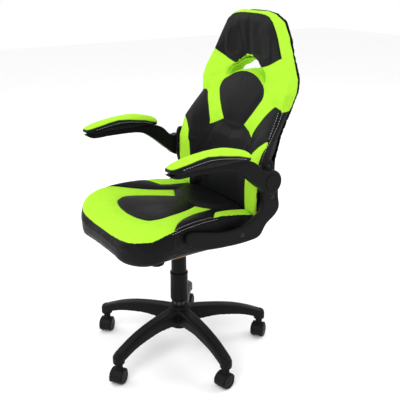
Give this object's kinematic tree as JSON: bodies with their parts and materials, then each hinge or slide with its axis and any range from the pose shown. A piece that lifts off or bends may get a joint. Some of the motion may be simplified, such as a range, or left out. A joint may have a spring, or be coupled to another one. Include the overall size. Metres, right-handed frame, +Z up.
{
  "type": "gaming chair",
  "caption": "Padded gaming chair in yellow-green mesh and black leather, with flip-up armrests, tilt, gas lift and a five-arm base on twin-wheel casters.",
  "frame": {"origin": "on the floor, on the axis of the gas column", "axes": "+Z up, the sitter faces -Y, the sitter's left is +X"},
  "size_m": [0.6525, 0.6912, 1.166],
  "materials": {
    "base_nylon": "satin moulded black nylon",
    "caster_plastic": "satin black nylon",
    "moulded_plastic": "finely grained black",
    "sleeve_plastic": "satin black",
    "bush_plastic": "natural acetal",
    "column_black": "black painted steel tube",
    "mechanism_steel": "black powder coat",
    "spring_steel": "oiled spring steel",
    "steel": "zinc plated",
    "steel_black": "black oxide",
    "plywood": "raw",
    "seat_upholstery": "soft black polyurethane leather with yellow-green mesh panels",
    "back_upholstery": "soft black polyurethane leather with yellow-green mesh panels",
    "rear_upholstery": "soft black polyurethane leather",
    "pad_upholstery": "black polyurethane leather with a yellow-green mesh top",
    "dust_cloth": "non-woven black cloth"
  },
  "bodies": {
    "base": {"star_base": "base_nylon", "caster_stems": "steel", "gas_tube": "column_black", "tube_guide_bushing": "bush_plastic", "thrust_bearing": "steel"},
    "piston": {"piston_rod": "steel", "rod_clip": "steel"},
    "lower_cover": {"cover_lower": "sleeve_plastic"},
    "mechanism": {"pressure_tube": "column_black", "cover_upper": "sleeve_plastic", "mechanism_housing": "mechanism_steel", "tension_spring": "spring_steel"},
    "release": {"release_pin": "steel"},
    "lever": {"height_lever": "mechanism_steel", "lever_grip": "moulded_plastic"},
    "knob": {"tension_knob": "moulded_plastic"},
    "seat": {"tilt_pivot_pin": "steel", "tension_bolt": "steel", "seat_plate": "mechanism_steel", "mechanism_screws": "steel", "seat_board": "plywood", "seat_cushion": "seat_upholstery", "seat_dust_cover": "dust_cloth", "back_board": "plywood", "back_cushion": "back_upholstery", "back_rear_cover": "rear_upholstery", "left_bracket": "moulded_plastic", "right_bracket": "moulded_plastic", "bracket_bolts": "steel_black", "bracket_washers": "steel_black", "arm_pivot_pins": "steel"},
    "left_armrest": {"left_arm": "moulded_plastic", "left_arm_pad": "pad_upholstery", "left_pivot_cap": "moulded_plastic", "left_arm_pad_screws": "steel_black"},
    "right_armrest": {"right_arm": "moulded_plastic", "right_arm_pad": "pad_upholstery", "right_pivot_cap": "moulded_plastic", "right_arm_pad_screws": "steel_black"},
    "caster_1": {"caster_1_hood": "caster_plastic", "caster_1_axle": "steel"},
    "caster_1_left_roller": {"caster_1_wheel_left": "caster_plastic"},
    "caster_1_right_roller": {"caster_1_wheel_right": "caster_plastic"},
    "caster_2": {"caster_2_hood": "caster_plastic", "caster_2_axle": "steel"},
    "caster_2_left_roller": {"caster_2_wheel_left": "caster_plastic"},
    "caster_2_right_roller": {"caster_2_wheel_right": "caster_plastic"},
    "caster_3": {"caster_3_hood": "caster_plastic", "caster_3_axle": "steel"},
    "caster_3_left_roller": {"caster_3_wheel_left": "caster_plastic"},
    "caster_3_right_roller": {"caster_3_wheel_right": "caster_plastic"},
    "caster_4": {"caster_4_hood": "caster_plastic", "caster_4_axle": "steel"},
    "caster_4_left_roller": {"caster_4_wheel_left": "caster_plastic"},
    "caster_4_right_roller": {"caster_4_wheel_right": "caster_plastic"},
    "caster_5": {"caster_5_hood": "caster_plastic", "caster_5_axle": "steel"},
    "caster_5_left_roller": {"caster_5_wheel_left": "caster_plastic"},
    "caster_5_right_roller": {"caster_5_wheel_right": "caster_plastic"}
  },
  "joints": [
    {"name": "seat_swivel", "type": "hinge", "parent": "base", "child": "piston", "pos_m": [0, 0, 0.1], "axis": [0, 0, 1], "continuous": true},
    {"name": "seat_height", "type": "slide", "parent": "piston", "child": "mechanism", "axis": [0, 0, 1], "range_m": [-0.1, 0]},
    {"name": "cover_follow", "type": "slide", "parent": "piston", "child": "lower_cover", "axis": [0, 0, 1], "range_m": [-0.0185, 0]},
    {"name": "seat_tilt", "type": "hinge", "parent": "mechanism", "child": "seat", "pos_m": [0, -0.03, 0.395], "axis": [-1, 0, 0], "range_deg": [0, 12], "stiffness_Nm_per_rad": 260, "springref_deg": -28.65, "deforming": ["tension_spring"]},
    {"name": "knob_turn", "type": "hinge", "parent": "seat", "child": "knob", "pos_m": [0, -0.088, 0.355], "axis": [0, 0, 1], "range_deg": [-360, 360]},
    {"name": "lever_lift", "type": "hinge", "parent": "mechanism", "child": "lever", "pos_m": [-0.03, 0, 0.419], "axis": [0, 1, 0], "range_deg": [0, 6], "stiffness_Nm_per_rad": 8, "springref_deg": -5.73},
    {"name": "release_press", "type": "slide", "parent": "mechanism", "child": "release", "axis": [0, 0, -1], "range_m": [0, 0.0032]},
    {"name": "left_arm_flip", "type": "hinge", "parent": "seat", "child": "left_armrest", "pos_m": [0.28, 0.163, 0.67], "axis": [-1, 0, 0], "range_deg": [0, 90]},
    {"name": "right_arm_flip", "type": "hinge", "parent": "seat", "child": "right_armrest", "pos_m": [-0.28, 0.163, 0.67], "axis": [-1, 0, 0], "range_deg": [0, 90]},
    {"name": "caster_1_swivel", "type": "hinge", "parent": "base", "child": "caster_1", "pos_m": [0.08671, -0.2872, 0.06], "axis": [0, 0, 1], "continuous": true},
    {"name": "caster_1_left_roll", "type": "hinge", "parent": "caster_1", "child": "caster_1_left_roller", "pos_m": [0.09082, -0.29286, 0.025], "axis": [0.809, 0.5878, 0], "continuous": true},
    {"name": "caster_1_right_roll", "type": "hinge", "parent": "caster_1", "child": "caster_1_right_roller", "pos_m": [0.09082, -0.29286, 0.025], "axis": [0.809, 0.5878, 0], "continuous": true},
    {"name": "caster_2_swivel", "type": "hinge", "parent": "base", "child": "caster_2", "pos_m": [0.29993, -0.00628, 0.06], "axis": [0, 0, 1], "continuous": true},
    {"name": "caster_2_left_roll", "type": "hinge", "parent": "caster_2", "child": "caster_2_left_roller", "pos_m": [0.30139, -0.01313, 0.025], "axis": [0.9781, 0.2079, 0], "continuous": true},
    {"name": "caster_2_right_roll", "type": "hinge", "parent": "caster_2", "child": "caster_2_right_roller", "pos_m": [0.30139, -0.01313, 0.025], "axis": [0.9781, 0.2079, 0], "continuous": true},
    {"name": "caster_3_swivel", "type": "hinge", "parent": "base", "child": "caster_3", "pos_m": [0.09866, 0.28331, 0.06], "axis": [0, 0, 1], "continuous": true},
    {"name": "caster_3_left_roll", "type": "hinge", "parent": "caster_3", "child": "caster_3_left_roller", "pos_m": [0.10277, 0.27765, 0.025], "axis": [0.809, 0.5878, 0], "continuous": true},
    {"name": "caster_3_right_roll", "type": "hinge", "parent": "caster_3", "child": "caster_3_right_roller", "pos_m": [0.10277, 0.27765, 0.025], "axis": [0.809, 0.5878, 0], "continuous": true},
    {"name": "caster_4_swivel", "type": "hinge", "parent": "base", "child": "caster_4", "pos_m": [-0.23896, 0.18138, 0.06], "axis": [0, 0, 1], "continuous": true},
    {"name": "caster_4_left_roll", "type": "hinge", "parent": "caster_4", "child": "caster_4_left_roller", "pos_m": [-0.23428, 0.17618, 0.025], "axis": [0.7431, 0.6691, 0], "continuous": true},
    {"name": "caster_4_right_roll", "type": "hinge", "parent": "caster_4", "child": "caster_4_right_roller", "pos_m": [-0.23428, 0.17618, 0.025], "axis": [0.7431, 0.6691, 0], "continuous": true},
    {"name": "caster_5_swivel", "type": "hinge", "parent": "base", "child": "caster_5", "pos_m": [-0.24635, -0.17121, 0.06], "axis": [0, 0, 1], "continuous": true},
    {"name": "caster_5_left_roll", "type": "hinge", "parent": "caster_5", "child": "caster_5_left_roller", "pos_m": [-0.24139, -0.17616, 0.025], "axis": [0.7071, 0.7071, 0], "continuous": true},
    {"name": "caster_5_right_roll", "type": "hinge", "parent": "caster_5", "child": "caster_5_right_roller", "pos_m": [-0.24139, -0.17616, 0.025], "axis": [0.7071, 0.7071, 0], "continuous": true}
  ],
  "couplings": [
    {"joint": "cover_follow", "follows": "seat_height", "ratio": 0.18},
    {"joint": "release_press", "follows": "lever_lift", "m_per_rad": 0.03}
  ]
}
